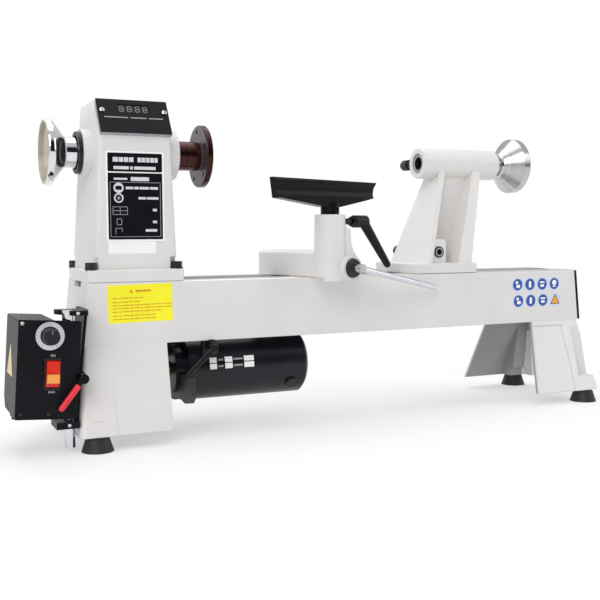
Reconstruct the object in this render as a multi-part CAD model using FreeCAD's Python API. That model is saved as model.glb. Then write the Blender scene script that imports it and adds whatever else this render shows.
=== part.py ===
import FreeCAD, Part
import math
import os

# Bench-top wood lathe, millimetres.  X runs along the bed from the headstock end to the
# tailstock end, -Y is the operator's side, Z = 0 is the bench that the feet stand on.
# The model is laid out from the bed's left end and shifted to its own centre when written.

# ---- driving dimensions -------------------------------------------------------------
bed_length = 714.0
bed_half_width = 55.0
bed_top = 190.0
beam_height = 74.0
bed_wall = 8.0
way_thickness = 14.0
slot_half_width = 18.0
end_draft = 0.11            # the bed's ends lean outwards by this much per mm of drop
centre_height = 152.4       # spindle axis above the bed: a 12 inch swing
leg_bottom = 17.0
leg_spread = 92.0           # half width over the legs at the floor
left_leg_width = (93.0, 89.0)       # from the bed's end to the leg's inner edge, high and low
right_leg_width = (74.5, 90.0)
foot_x = 2.0
foot_y = 81.0

head_length = 116.5
head_depth = 48.0           # half depth of the headstock tower
flange_height = 14.5
tower_top = 402.0

wheel_radius = 39.0
faceplate_radius = 38.7
spindle_radius = 12.5
spindle_pulley_steps = (36.0, 30.0, 24.0)
motor_pulley_steps = (16.0, 22.0, 28.0)
pulley_start = 66.0
step_width = 12.0
belt_thickness = 4.0
belt_gap = 0.3

motor_radius = 41.0
motor_z = 76.5
motor_left = 126.0
bell_start = 256.0
motor_right = 288.0
swing_y = 38.0
swing_z = 98.0
lock_x, lock_z = 149.0, 107.5
pivot_lug = 97.0            # left face of the lug that carries the motor's pivot pin

box_left, box_right = -82.0, -14.0
box_front, box_back = -86.0, 4.0
box_bottom, box_top = 39.5, 149.5
gland_x, gland_y = -76.0, -42.0
box_tilt = 3.8              # degrees, the box follows the lean of the end wall
dial_x, dial_z = -47.9, 132.3
switch_x, switch_z = -43.6, 90.4
lever_x, lever_y, lever_z = -15.0, -94.5, 86.0
rod_x, rod_y = -27.0, -72.0

rest_x = 296.0              # clamp bolt of the tool-rest base, on the slot's centre
rest_turn = 16.0            # degrees that the base is swivelled at rest
arm_half_width = 29.0
arm_height = 33.0
cam_height = 11.8
post_x, post_y = -14.0, -72.0

tail_x = 486.0              # clamp bolt of the tailstock
barrel_left, barrel_right = 477.0, 602.0
barrel_radius = 21.2
quill_radius = 14.0
quill_travel = 50.0

wide_screw = (3.0, 2.0, 8.0)        # radius of the head, radius and length of the shank
fine_screw = (1.9, 1.25, 6.0)

running = 0.05              # radial clearance of a shaft in its bearing
spindle_z = bed_top + centre_height
beam_bottom = bed_top - beam_height
way_underside = bed_top - way_thickness

Vec = FreeCAD.Vector
X, Y, Z = Vec(1, 0, 0), Vec(0, 1, 0), Vec(0, 0, 1)
parts = {}


# ---- small shape helpers ------------------------------------------------------------
def box(x0, x1, y0, y1, z0, z1):
    return Part.makeBox(x1 - x0, y1 - y0, z1 - z0, Vec(x0, y0, z0))


def rod(x, y, z, direction, radius, length):
    return Part.makeCylinder(radius, length, Vec(x, y, z), direction)


def ring(x, y, z, direction, outer, inner, length):
    return rod(x, y, z, direction, outer, length).cut(rod(x, y, z, direction, inner, length))


def prism(points, normal, start, end):
    """A polygon drawn in the plane across one axis, pushed along that axis."""
    place = {"x": lambda a, b: Vec(start, a, b),
             "y": lambda a, b: Vec(a, start, b),
             "z": lambda a, b: Vec(a, b, start)}[normal]
    corners = [place(a, b) for a, b in points]
    face = Part.Face(Part.makePolygon(corners + corners[:1]))
    return face.extrude({"x": X, "y": Y, "z": Z}[normal] * (end - start))


def turned(profile, y, z):
    """A profile of (x, radius) corners spun about an axis along X."""
    corners = [Vec(x, y, z + radius) for x, radius in profile]
    face = Part.Face(Part.makePolygon(corners + corners[:1]))
    return face.revolve(Vec(0, y, z), X, 360)


def block_between(low, z_low, high, z_high):
    """A tapered block between two upright rectangles (x0, x1, y0, y1)."""
    wires = []
    for (x0, x1, y0, y1), z in ((low, z_low), (high, z_high)):
        corners = [Vec(x0, y0, z), Vec(x1, y0, z), Vec(x1, y1, z), Vec(x0, y1, z)]
        wires.append(Part.makePolygon(corners + corners[:1]))
    return Part.makeLoft(wires, True, True)


def hexagon(x, y, z, across_flats, height):
    corner = across_flats / math.sqrt(3)
    points = [(x + corner * math.cos(math.radians(60 * i)),
               y + corner * math.sin(math.radians(60 * i))) for i in range(6)]
    return prism(points, "z", z, z + height)


def cut_each(shape, tools):
    for tool in tools:
        shape = shape.cut(tool)
    return shape


def rounded(shape, radius, wanted):
    """Fillet every edge whose middle point and end points pass the test."""
    edges = [edge for edge in shape.Edges if wanted(edge)]
    return shape.makeFillet(radius, edges)


def upright(edge):
    box_of_edge = edge.BoundBox
    return box_of_edge.ZLength > 2 * max(box_of_edge.XLength, box_of_edge.YLength, 0.01)


def mirrored(shape, x):
    return shape.mirror(Vec(x, 0, 0), X)


def screw(x, y, z, direction, size=wide_screw):
    """A pan-head screw: its head stands on the point, its shank goes the other way."""
    head, shank, length = size
    base = Vec(x, y, z)
    rim = Part.makeCylinder(head, 0.4 * head, base, direction)
    crown = Part.makeCone(head, 0.65 * head, 0.2 * head, base + direction * (0.4 * head), direction)
    return rim.fuse([crown, Part.makeCylinder(shank, length, base, direction * -1)])


def screw_hole(x, y, z, direction, size=wide_screw):
    _, shank, length = size
    return Part.makeCylinder(shank + 0.15, length + 0.3, Vec(x, y, z), direction * -1)


def end_face_x(z):
    """Where the bed's left end face stands at a height."""
    return -end_draft * (bed_top - z)


# ---- bed ----------------------------------------------------------------------------
def flared_face(z):
    """Half the width over the legs at a height."""
    flare = (leg_spread - bed_half_width) / (beam_bottom - leg_bottom)
    return leg_spread - flare * (z - leg_bottom)


def leg_frame(width, ledge):
    """A pair of legs with the end wall between them, open below and inwards, at the left end."""
    outer_high = (end_face_x(beam_bottom), width[0], -bed_half_width, bed_half_width)
    outer_low = (end_face_x(leg_bottom), width[1], -leg_spread, leg_spread)
    outer = block_between(outer_low, leg_bottom, outer_high, beam_bottom)
    outer = rounded(outer, 6, lambda edge: upright(edge) and edge.BoundBox.XMin < 0)
    below, above = leg_bottom - 1, beam_bottom + 1
    inner_low = (end_face_x(below) + bed_wall, 140,
                 bed_wall - flared_face(below), flared_face(below) - bed_wall)
    inner_high = (end_face_x(above) + bed_wall, 140,
                  bed_wall - flared_face(above), flared_face(above) - bed_wall)
    frame = outer.cut(block_between(inner_low, below, inner_high, above))
    arch = prism([(-52, 0), (52, 0), (46, 70), (32, 86), (-32, 86), (-46, 70)], "x", -40, 4)
    frame = frame.cut(arch)
    for side in (-1, 1):                                  # the panel beside the corner column
        top, bottom = beam_bottom - 6, leg_bottom - 1
        face_top, face_bottom = side * flared_face(top), side * flared_face(bottom)
        cut = prism([(face_top - side * ledge, top), (face_top + side * 6, top),
                     (face_bottom + side * 6, bottom), (face_bottom - side * 0.8, bottom)],
                    "x", 24, 140)
        frame = frame.cut(cut)
    return frame, outer


def foot_pad(outer, x0, x1, side, top):
    return outer.common(box(x0, x1, *sorted((side * 66, side * 90)), leg_bottom, top))


def left_legs():
    frame, outer = leg_frame(left_leg_width, 0.1)
    return frame.fuse([foot_pad(outer, -30, 22, side, leg_bottom + 12) for side in (-1, 1)])


def right_legs():
    """The right pair, drawn at the left end: each corner is set back above its foot's block."""
    frame, outer = leg_frame(right_leg_width, 1.2)
    recess_floor = leg_bottom + 19
    for side in (-1, 1):
        def corner(grow):
            low = (-24, 13.2 + grow, *sorted((side * (66 - grow), side * 96)))
            high = (-24, 7.6 + grow, *sorted((side * (57 - grow), side * 96)))
            return block_between(low, recess_floor - grow, high, beam_bottom - 1)
        frame = frame.fuse(corner(6).common(outer)).cut(corner(0))
        frame = frame.fuse(foot_pad(outer, -10.6, 19, side, recess_floor))
    return mirrored(frame, bed_length / 2)


def bed_casting():
    drop = end_face_x(beam_bottom)
    beam = prism([(0, bed_top), (bed_length, bed_top), (bed_length - drop, beam_bottom),
                  (drop, beam_bottom)], "y", -bed_half_width, bed_half_width)
    beam = rounded(beam, 2, lambda edge: edge.BoundBox.ZMin > bed_top - 1
                   and edge.BoundBox.XLength > 100)
    inside = bed_half_width - bed_wall
    beam = beam.cut(box(10, bed_length - 10, -inside, inside, beam_bottom - 1, way_underside))
    beam = beam.cut(box(10, bed_length - 10, -slot_half_width, slot_half_width,
                        way_underside - 1, bed_top + 1))
    beam = beam.cut(box(-20, bed_length + 20, -slot_half_width, slot_half_width,
                        bed_top - 7, bed_top + 1))
    beam = beam.cut(box(54, 108, -44, 44, way_underside - 1, bed_top + 1))   # belt window
    ribs = [box(x, x + 8, -inside, inside, beam_bottom + 18, beam_bottom + 34)
            for x in (120, 232, 344, 456, 568)]
    casting = beam.fuse([left_legs(), right_legs()] + ribs)
    holes = [screw_hole(*where) for where in end_plate_points()]
    holes += [rod(x, y, leg_bottom - 1, Z, 4, 14) for x, y in foot_places()]
    holes += [rod(x, y, bed_top - 12, Z, 4, 13) for x, y in head_bolt_places()]
    lugs = [box(pivot_lug, pivot_lug + 12, swing_y - 10, inside + 1, swing_z - 10, beam_bottom + 20),
            box(lock_x - 9, lock_x + 9, -inside - 2, -inside + 6, lock_z - 10, beam_bottom + 10)]
    holes.append(rod(pivot_lug - 1, swing_y, swing_z, X, 5, 14))
    return cut_each(casting.fuse(lugs), holes)


def foot_places():
    return [(x, y) for x in (foot_x, bed_length - foot_x) for y in (-foot_y, foot_y)]


def head_bolt_places():
    return [(x, y) for x in (6, head_length - 7.5) for y in (-47, 47)]


def end_plate_points():
    lean = Vec(1, 0, end_draft).normalize()
    return [(bed_length + end_draft * (bed_top - z) + 6, y, z, lean)
            for z in (176, 128) for y in (-45, 45)]


def end_plate():
    top, bottom = bed_top - 1, beam_bottom + 1
    lean = end_draft * (top - bottom)
    edge = bed_length + end_draft
    plate = prism([(edge, top), (edge + 6, top), (edge + 6 + lean, bottom), (edge + lean, bottom)],
                  "y", -bed_half_width + 2, bed_half_width - 2)
    return plate.cut([screw_hole(*where) for where in end_plate_points()])


def feet():
    names = ["foot_front_left", "foot_rear_left", "foot_front_right", "foot_rear_right"]
    bolts = []
    for name, (x, y) in zip(names, foot_places()):
        rubber = Part.makeCone(18.5, 13.5, leg_bottom - 2, Vec(x, y, 0), Z)
        rubber = rubber.fuse(rod(x, y, leg_bottom - 2, Z, 12.5, 2))
        rubber = rubber.cut([rod(x, y, -1, Z, 7.5, 7), rod(x, y, 0, Z, 4, leg_bottom + 1)])
        parts[name] = rubber
        bolts.append(rod(x, y, 2, Z, 7, 4).fuse(rod(x, y, 6, Z, 4, leg_bottom + 3)))
    parts["foot_bolts"] = Part.makeCompound(bolts)


# ---- headstock ----------------------------------------------------------------------
display_low = (-head_depth, 360.0)     # (y, z) of the sloping face's lower and upper edges
display_high = (-22.0, tower_top)


def tower(grow, front, back, low, high):
    """The tower's outline, or the hollow inside it when grow is negative.  It widens to the rear."""
    wires = []
    for z, x_front, x_rear, x_right in ((low, 12, 3.5, 110), (high, 19, 16.6, 102)):
        corners = [Vec(x_front - grow, -head_depth, z), Vec(x_right + grow, -head_depth, z),
                   Vec(x_right + grow, head_depth, z), Vec(x_rear - grow, head_depth, z)]
        wires.append(Part.makePolygon(corners + corners[:1]))
    sides = Part.makeLoft(wires, True, True)
    slope = (display_high[0] - display_low[0]) / (display_high[1] - display_low[1])
    z_break = display_low[1] + grow * 1.2
    lip = front + (high - z_break) * slope
    outline = prism([(front, low), (front, z_break), (lip, high), (back - 8, high),
                     (back, high - 10), (back, low)], "x", -40, 160)
    return sides.common(outline)


def headstock_casting():
    base_z = bed_top + flange_height
    base = box(0, head_length, -bed_half_width, bed_half_width, bed_top, base_z)
    base = rounded(base, 4, upright)
    base = rounded(base, 2.5, lambda edge: edge.BoundBox.ZMin > base_z - 0.01)
    body = tower(0, -head_depth, head_depth, base_z - 1, tower_top)
    body = rounded(body, 5, upright)
    casting = base.fuse([body, rod(5, 0, spindle_z, X, 28.3, 20), rod(93, 0, spindle_z, X, 30, 27.5)])
    hollow = tower(-7, -head_depth + 7, head_depth - 7, bed_top - 1, tower_top - 8)
    casting = casting.cut(hollow).fuse(ring(12, 0, spindle_z, X, 28.3, 23.5, 14))
    last_step = spindle_pulley_steps[-1] + 3          # room for the small step's flange
    casting = casting.cut([rod(1, 0, spindle_z, X, 15, 130), rod(6, 0, spindle_z, X, 23.5, 12),
                           rod(107, 0, spindle_z, X, 23.5, 12), rod(18, 0, spindle_z, X, 21, 92),
                           rod(60, 0, spindle_z, X, last_step, 43.5)])
    pockets = [rod(x, y, base_z, Z, 8.2, 14) for x, y in head_bolt_places()]
    holes = [rod(x, y, bed_top - 1, Z, 4, flange_height + 2) for x, y in head_bolt_places()]
    casting = casting.cut(pockets + holes + [box(30, 92, head_depth - 10, head_depth + 10, 216, 384)])
    lugs = [rod(24, head_depth + 5, z, Z, 4.5, 10).fuse(box(19.5, 28.5, head_depth - 3, head_depth + 5,
                                                            z, z + 10)) for z in (222, 368)]
    casting = casting.fuse(lugs).cut(rod(24, head_depth + 5, 215, Z, 2, 175))
    return casting.cut([screw_hole(*where) for where in display_points()])


def headstock_bolts():
    base_z = bed_top + flange_height
    bolts = []
    for x, y in head_bolt_places():
        washer = rod(x, y, base_z, Z, 7.5, 1.5)
        head = hexagon(x, y, base_z + 1.5, 12, 7)
        bolts.append(washer.fuse([head, rod(x, y, bed_top - 12, Z, 4, flange_height + 13)]))
    return Part.makeCompound(bolts)


def belt_door():
    """The belt access door at the back, hung on a pin at its left edge."""
    axis_y = head_depth + 5
    panel = box(29, 96, head_depth + 0.5, head_depth + 3.5, 212, 388)
    panel = panel.fuse(box(31.5, 90.5, head_depth - 4, head_depth + 0.5, 218, 382))
    panel = panel.cut(box(33.5, 88.5, head_depth - 5, head_depth - 1.5, 220, 380))
    leaf = box(24, 31, head_depth + 1.5, head_depth + 3.5, 233, 367).cut(
        rod(24, axis_y, 230, Z, 4.2, 140))
    barrel = ring(24, axis_y, 233, Z, 4.5, 2 + running, 134)
    knob = turned_along_y([(0, 4), (5, 4), (6, 9), (13, 9), (15, 7), (15, 0), (0, 0)],
                          88, head_depth + 3.5, 300)
    return panel.fuse([leaf, barrel, knob])


def turned_along_y(profile, x, y, z):
    """A profile of (distance, radius) corners spun about an axis along +Y from a point."""
    corners = [Vec(x + radius, y + distance, z) for distance, radius in profile]
    face = Part.Face(Part.makePolygon(corners + corners[:1]))
    return face.revolve(Vec(x, y, z), Y, 360)


def slope_frame(distance_up, distance_out):
    """A (y, z) point measured up the display's sloping face and out from it."""
    run, rise = display_high[0] - display_low[0], display_high[1] - display_low[1]
    length = math.hypot(run, rise)
    y = display_low[0] + (run * distance_up - rise * distance_out) / length
    z = display_low[1] + (rise * distance_up + run * distance_out) / length
    return y, z


def sloping_slab(x0, x1, up0, up1, out0, out1):
    corners = [slope_frame(up0, out0), slope_frame(up1, out0),
               slope_frame(up1, out1), slope_frame(up0, out1)]
    return prism(corners, "x", x0, x1)


display_length = math.hypot(display_high[0] - display_low[0], display_high[1] - display_low[1])
display_out = Vec(0, -(display_high[1] - display_low[1]) / display_length,
                  (display_high[0] - display_low[0]) / display_length)


def display_points():
    y, z = slope_frame(31, 6.2)
    return [(x, y, z, display_out) for x in (24.5, 99)]


def display():
    shanks = [screw_hole(*where) for where in display_points()]
    window = sloping_slab(44, 81, 29, 41, -1, 8)
    housing = sloping_slab(19, 104, 0, display_length - 1.5, 0, 5)
    panel = sloping_slab(19, 104, 0, display_length - 1.5, 5, 6.2)
    recess = sloping_slab(40, 85, 25, 44, 2, 5)
    parts["display_housing"] = housing.cut([recess] + shanks)
    parts["display_panel"] = panel.cut([window] + shanks)


def bearings():
    seats = ((6, 12), (107, 12))
    return Part.makeCompound([ring(x, 0, spindle_z, X, 23.5, spindle_radius + running, width)
                              for x, width in seats])


# ---- spindle line -------------------------------------------------------------------
def spindle():
    outside = [(-17, 0), (-17, 12.5), (128, 12.5), (128, 11.6), (131, 11.6), (131, 12.7),
               (149, 12.7), (150, 11.7), (150, 0)]
    shaft = turned(outside, 0, spindle_z)
    taper = Part.makeCone(7.3, 8.9, 64, Vec(86.5, 0, spindle_z), X)
    return shaft.cut([taper, rod(-18, 0, spindle_z, X, 5, 120)])


def stepped_pulley(radii, bore, z):
    """Three crowned belt steps between thin flanges."""
    profile = [(pulley_start, bore)]
    for index, radius in enumerate(radii):
        start = pulley_start + index * step_width
        profile += [(start, radius + 2), (start + 1, radius + 2), (start + 1, radius),
                    (start + step_width - 1, radius), (start + step_width - 1, radius + 2),
                    (start + step_width, radius + 2)]
    profile.append((pulley_start + len(radii) * step_width, bore))
    return turned(profile, 0, z)


def drive_belt():
    """The flat ribbed belt round the middle steps of both pulleys."""
    x = pulley_start + step_width + 1.5
    width = step_width - 3
    high, low = spindle_pulley_steps[1] + belt_gap, motor_pulley_steps[1] + belt_gap

    def loop(extra):
        top, bottom = high + extra, low + extra
        lean = math.asin((top - bottom) / (spindle_z - motor_z))
        corners = [Vec(x, side * radius * math.cos(lean), z + radius * math.sin(lean))
                   for side, radius, z in ((1, top, spindle_z), (1, bottom, motor_z),
                                           (-1, bottom, motor_z), (-1, top, spindle_z))]
        return [Part.LineSegment(corners[0], corners[1]),
                Part.Arc(corners[1], Vec(x, 0, motor_z - bottom), corners[2]),
                Part.LineSegment(corners[2], corners[3]),
                Part.Arc(corners[3], Vec(x, 0, spindle_z + top), corners[0])]

    def slab(extra):
        wire = Part.Wire([curve.toShape() for curve in loop(extra)])
        return Part.Face(wire).extrude(X * width)

    return slab(belt_thickness).cut(slab(0))


def spindle_handwheel():
    outside = [(-37, 34.5), (-37, 37.5), (-36.3, 38.6), (-35, 39), (-30.5, 39), (-29, 38.2),
               (-16, 21), (-14.5, 19.2), (-13, 18.5), (-1, 18.5), (-1, 12.5), (-18, 12.5),
               (-18, 16), (-22, 24), (-26, 30.5), (-31, 34)]
    return turned(outside, 0, spindle_z)


def faceplate_hole_places():
    return [(31 * math.cos(math.radians(84 + 72 * i)), 31 * math.sin(math.radians(84 + 72 * i)))
            for i in range(5)]


def faceplate():
    outside = [(121.5, 12.7), (121.5, 17), (122.5, 18), (152, 18), (153, 19), (153, 38),
               (154, faceplate_radius), (159.5, faceplate_radius), (160.5, 38), (160.5, 12.7)]
    plate = turned(outside, 0, spindle_z)
    return plate.cut([rod(150, y, spindle_z + z, X, 2.6, 12) for y, z in faceplate_hole_places()])


# ---- motor --------------------------------------------------------------------------
def motor():
    shell = ring(motor_left, 0, motor_z, X, motor_radius, motor_radius - 3, bell_start - motor_left)
    shell = shell.fuse([ring(motor_left, 0, motor_z, X, motor_radius, 10, 6),
                        ring(motor_left - 14, 0, motor_z, X, 30, 10, 14)])
    bell = turned([(bell_start, 10), (bell_start, motor_radius), (motor_right - 4, motor_radius),
                   (motor_right, 37), (motor_right, 0), (motor_right - 6, 0),
                   (motor_right - 6, 34), (bell_start + 6, 37), (bell_start + 6, 10)], 0, motor_z)
    vents = []
    for i in range(8):
        vent = box(motor_right - 7, motor_right + 1, -2.5, 2.5, motor_z + 13, motor_z + 31)
        vent.rotate(Vec(0, 0, motor_z), X, 45 * i)
        vents.append(vent)
    seats, caps = [], []
    for side in (-1, 1):
        way = Vec(0, side * 0.83, side * 0.558)
        base = Vec(265, way.y * 37, motor_z + way.z * 37)
        caps.append(Part.makeCylinder(7.6, 7, base, way))
        seats.append(Part.makeCylinder(7.6, 20, base - way * 8, way))
    parts["brush_caps"] = Part.makeCompound(caps)
    parts["motor_shell"] = shell
    parts["motor_rear_bell"] = bell.cut(vents + seats + [rod(bell_start - 1, 0, motor_z, X, 7 + running, 8)])
    core = turned([(pulley_start - 2, 0), (pulley_start - 2, 7), (150, 7), (150, 29), (212, 29),
                   (212, 7), (222, 7), (222, 17), (252, 17), (252, 7), (270, 7), (270, 0)],
                  0, motor_z)
    parts["motor_armature"] = core
    parts["motor_pulley"] = stepped_pulley(motor_pulley_steps, 7, motor_z)
    outline = [(-61, 72.5), (-66, 51), (-55, 40), (-42, 38), (-24, 41.6), (0, 36), (20, 35),
               (44, 48), (48, 60), (48, 106), (30, 111), (16, 106), (8, 72.5)]
    plate = prism(outline, "x", motor_left - 8, motor_left)
    plate = rounded(plate, 2, lambda edge: edge.BoundBox.XLength > 7)
    plate = plate.fuse(rod(pivot_lug + 13, swing_y, swing_z, X, 10, 16))
    parts["motor_bracket"] = plate.cut([rod(motor_left - 9, 0, motor_z, X, 30, 10),
                                        rod(pivot_lug, swing_y, swing_z, X, 5 + running, 30)])


def motor_lock_lever():
    """The ratchet handle that clamps the motor plate, on a stud through the bed's front wall."""
    root = Vec(lock_x, -bed_half_width + bed_wall - 2, lock_z)
    return ratchet_handle(root, Vec(0, -1, 0), Vec(-0.757, -0.06, -0.655), 44, (6, 7, 5), (4.4, 3.3))


def ratchet_handle(root, out, arm, arm_length, hub_size, arm_radii):
    """A clamping handle: stud, tapered hub and a cranked arm with a rounded end."""
    radius, hub_length, stud_length = hub_size
    stud = Part.makeCylinder(4, stud_length, root, out)
    hub_root = root + out * stud_length
    collar = Part.makeCone(0.75 * radius, radius, 5, hub_root, out)
    hub = Part.makeCylinder(radius, hub_length, hub_root + out * 5, out)
    crown = Part.makeCone(radius, 0.65 * radius, 3, hub_root + out * (5 + hub_length), out)
    arm = Vec(arm).normalize()
    start = hub_root + out * (5 + hub_length * 0.8)
    bar = Part.makeCone(*arm_radii, arm_length, start, arm)
    end = Part.makeSphere(arm_radii[1], start + arm * arm_length)
    return stud.fuse([collar, hub, crown, bar, end])


# ---- control box --------------------------------------------------------------------
def tilted(shape):
    shape.rotate(Vec(box_right, 0, box_top), Y, box_tilt)
    return shape


body_right = -42.0          # the box stops short of the leg, its front panel runs on


def panel_points():
    y = box_front
    return [(box_left + 4, y, box_top - 4), (box_left + 6, y, box_bottom + 6),
            (body_right - 4, y, box_bottom + 6)]


def box_outline():
    front = box_front + 2
    outline = prism([(front, box_bottom), (front, box_top), (box_back, box_top),
                     (box_back, box_bottom + 14), (box_back - 14, box_bottom)],
                    "x", box_left, body_right)
    return rounded(outline, 2, lambda edge: edge.BoundBox.YLength > 60)


def control_box():
    front = box_front + 2
    outside = box_outline()
    inside = box(box_left + 2.5, body_right - 2.5, front - 1, box_back - 16,
                 box_bottom + 2.5, box_top - 2.5)
    posts = [box(x - 4, x + 4, front, front + 10, z - 4, z + 4) for x, _, z in panel_points()]
    shell = outside.cut(inside).fuse([post.common(outside) for post in posts])
    shanks = [screw_hole(x, y, z, Y * -1, fine_screw) for x, y, z in panel_points()]
    gland_hole = rod(gland_x, gland_y, box_bottom - 1, Z, 3, 5)
    switch_pocket = box(switch_x - 9, switch_x + 9, front - 1, front + 15,
                        switch_z - 17, switch_z + 17)
    knob_pocket = rod(dial_x, front - 1, dial_z, Y, 4.2, 8)
    parts["control_box"] = tilted(cut_each(shell, shanks + [gland_hole, switch_pocket, knob_pocket]))
    panel = box(box_left, box_right, box_front, front, box_bottom, box_top)
    panel = rounded(panel, 1.5, lambda edge: edge.BoundBox.YLength > 1)
    openings = shanks + [rod(dial_x, box_front - 1, dial_z, Y, 4, 5),
                         box(switch_x - 8.5, switch_x + 8.5, box_front - 1, front + 1,
                             switch_z - 16.5, switch_z + 16.5)]
    notch = rod(lever_x, box_front - 1, lever_z, Y, 6, 5)
    parts["control_panel"] = tilted(panel.cut(openings)).cut(notch)
    gland = hexagon(gland_x, gland_y, box_bottom - 3, 8, 3)
    gland = gland.fuse([rod(gland_x, gland_y, box_bottom, Z, 3, 5),
                        Part.makeCone(2.6, 3.4, 4, Vec(gland_x, gland_y, box_bottom - 7), Z)])
    parts["cable_gland"] = tilted(gland.cut(rod(gland_x, gland_y, box_bottom - 8, Z, 1.8, 14)))
    parts["dial_plate"] = tilted(ring(dial_x, box_front - 1.2, dial_z, Y, 15.6, 10.5, 1.2))
    knob = turned_along_y([(-16, 0), (-16, 7.2), (-14.5, 8.4), (-4, 9.2), (-1.6, 9.6), (-1.6, 3.6),
                           (6, 3.6), (6, 0)], dial_x, box_front, dial_z)
    knob = knob.cut(box(dial_x - 0.7, dial_x + 0.7, box_front - 17, box_front - 15.2,
                        dial_z + 2, dial_z + 10))
    parts["speed_knob"] = tilted(knob)
    bezel = box(switch_x - 9.5, switch_x + 9.5, box_front - 2, box_front,
                switch_z - 18, switch_z + 18)
    bezel = rounded(bezel, 2, lambda edge: edge.BoundBox.YLength > 1)
    bezel = bezel.fuse(box(switch_x - 8.5, switch_x + 8.5, box_front, box_front + 16,
                           switch_z - 16.5, switch_z + 16.5))
    well = box(switch_x - 7.6, switch_x + 7.6, box_front - 3, box_front + 6,
               switch_z - 15.6, switch_z + 15.6)
    deep = box(switch_x - 5, switch_x + 5, box_front - 1, box_front + 14,
               switch_z - 12, switch_z + 12)
    pin = rod(switch_x - 8.2, box_front + 0.2, switch_z + 2, X, 1.5, 16.4)
    pin_holes = rod(switch_x - 8.2, box_front + 0.2, switch_z + 2, X, 1.5 + running, 16.4)
    parts["switch_frame"] = tilted(cut_each(bezel, [well, deep, pin_holes]))
    paddle = prism([(box_front - 1, switch_z + 15), (box_front - 5, switch_z + 14),
                    (box_front - 6, switch_z + 1), (box_front - 1, switch_z + 1)],
                   "x", switch_x - 7, switch_x + 7)
    lower = prism([(box_front - 1, switch_z - 15), (box_front - 3.2, switch_z - 14),
                   (box_front - 5, switch_z - 1), (box_front - 5, switch_z + 1),
                   (box_front - 1, switch_z + 1)], "x", switch_x - 7, switch_x + 7)
    slit = box(switch_x - 5.4, switch_x + 5.4, box_front - 9, box_front + 1,
               switch_z - 8.6, switch_z + 0.2)
    parts["switch_paddle"] = tilted(paddle.fuse([lower, pin]).cut(slit))
    key = box(switch_x - 6.9, switch_x + 6.9, box_front - 9.5, box_front - 6.3,
              switch_z - 9.6, switch_z + 0.4)
    key = rounded(key, 1, lambda edge: edge.BoundBox.YMax < box_front - 9)
    parts["safety_key"] = tilted(key.fuse([
        box(switch_x - 5, switch_x + 5, box_front - 6.3, box_front - 2, switch_z - 8.2, switch_z - 0.2),
        box(switch_x - 3, switch_x + 3, box_front - 2, box_front + 8, switch_z - 6, switch_z - 3)]))


def bracket_points():
    return [(rod_x + 9, box_front, 158.2), (rod_x - 3, box_front, 33)]


def control_bracket():
    """The black plate that carries the box, with two shelves that hold the knock-out rod."""
    back, low, high = -20, 28, 161
    wall = prism([(end_face_x(high) - 3.7, high), (end_face_x(high) - 0.4, high),
                  (end_face_x(low) - 0.4, low), (end_face_x(low) - 5, low),
                  (end_face_x(128) - 4.2, 128)], "y", -70, back)
    top_lug = prism([(-38, -50), (-35, -62), (-21, box_front), (end_face_x(158) - 3, box_front),
                     (end_face_x(158) - 3, -50)], "z", 155.5, high)
    bottom_lug = box(-44, end_face_x(29) - 1, box_front, -50, 29, 37)
    web = box(-56, end_face_x(66) - 1, -44, -40, 66, 104).cut(tilted(box_outline()))
    tab = box(lever_x - 1, end_face_x(79) - 0.8, box_front + 3, -60, 79, 93)
    ear = rod(lever_x, box_front + 3, lever_z, Y, 6.2, 8)
    plate = wall.fuse([top_lug, bottom_lug, web, tab, ear])
    plate = cut_each(plate, [rod(rod_x, rod_y, 20, Z, 6.4, 170),
                             rod(lever_x, box_front - 5, lever_z, Y, 4 + running, 30)])
    return cut_each(plate, [screw_hole(x, y, z, Y * -1, fine_screw) for x, y, z in bracket_points()])


def knockout_rod():
    return rod(rod_x, rod_y, 5.6, Z, 6.0, 155.4)


lever_direction = Vec(-0.614, 0, -0.79).normalize()


def lever_point(distance):
    return Vec(lever_x, lever_y, lever_z) + lever_direction * distance


def tension_lever():
    hub = rod(lever_x, lever_y - 4, lever_z, Y, 5.5, 8)
    shaft = rod(lever_x, lever_y, lever_z, Y, 4, 23)
    bar = Part.makeCylinder(2.4, 39, lever_point(0), lever_direction)
    return hub.fuse([shaft, bar])


def tension_grip():
    """The red sleeve pushed over the lever's bar."""
    sleeve = Part.makeCylinder(3.4, 31, lever_point(9), lever_direction)
    tip = Part.makeSphere(3.4, lever_point(40))
    return sleeve.fuse(tip).cut(Part.makeCylinder(2.4, 39, lever_point(0), lever_direction))


# ---- tool rest ----------------------------------------------------------------------
def at_rest_place(shape):
    """From the base's own frame, with the clamp bolt at its origin, to its place on the bed."""
    shape.rotate(Vec(0, 0, 0), Z, rest_turn)
    shape.translate(Vec(rest_x, 0, bed_top))
    return shape


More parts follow.
